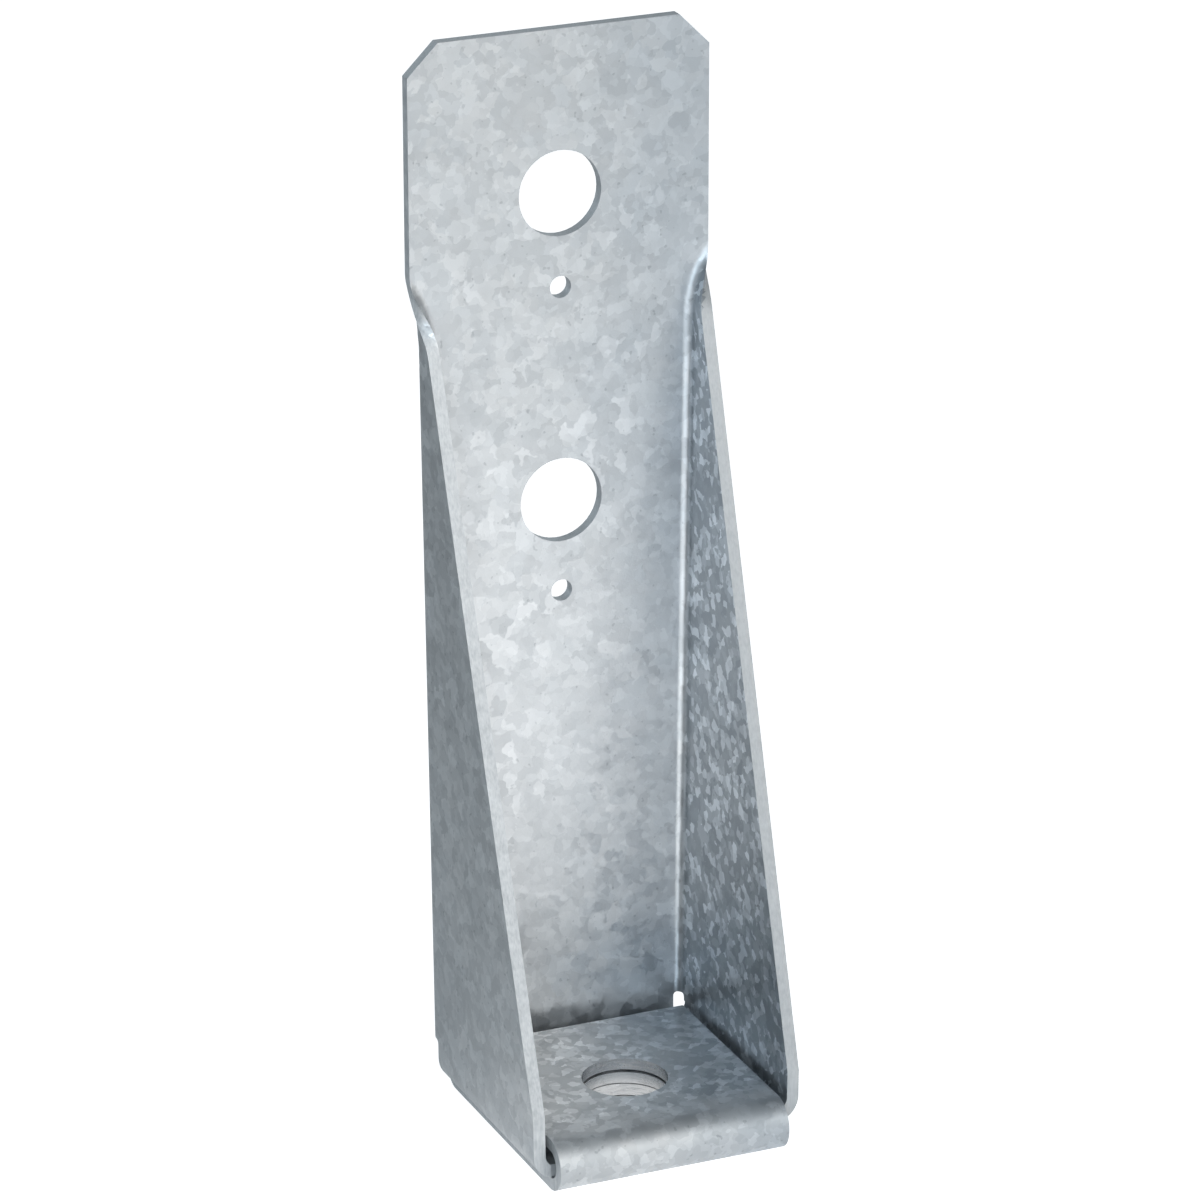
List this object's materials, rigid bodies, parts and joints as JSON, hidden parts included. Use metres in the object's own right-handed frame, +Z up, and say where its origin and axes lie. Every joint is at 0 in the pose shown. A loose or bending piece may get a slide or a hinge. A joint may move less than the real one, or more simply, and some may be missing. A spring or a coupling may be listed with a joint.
{
  "type": "hold down bracket",
  "caption": "Folded galvanised sheet hold-down: tall back plate for stud bolts, two slanting side flanges and a doubled seat with an anchor bolt hole.",
  "frame": {"origin": "centre of the anchor bolt hole on the underside of the foot, where the bracket stands", "axes": "+Z up along the post, from the underside toward the top of the back plate; +Y toward the post, square to the back plate; +X to the right as seen from the open front"},
  "size_m": [0.0636, 0.0592, 0.2205],
  "materials": {
    "galvanised_sheet": "hot-dip galvanised with a fine grey spangle, dull to half bright"
  },
  "bodies": {
    "root": {"hold_down_bracket": "galvanised_sheet"}
  },
  "joints": []
}
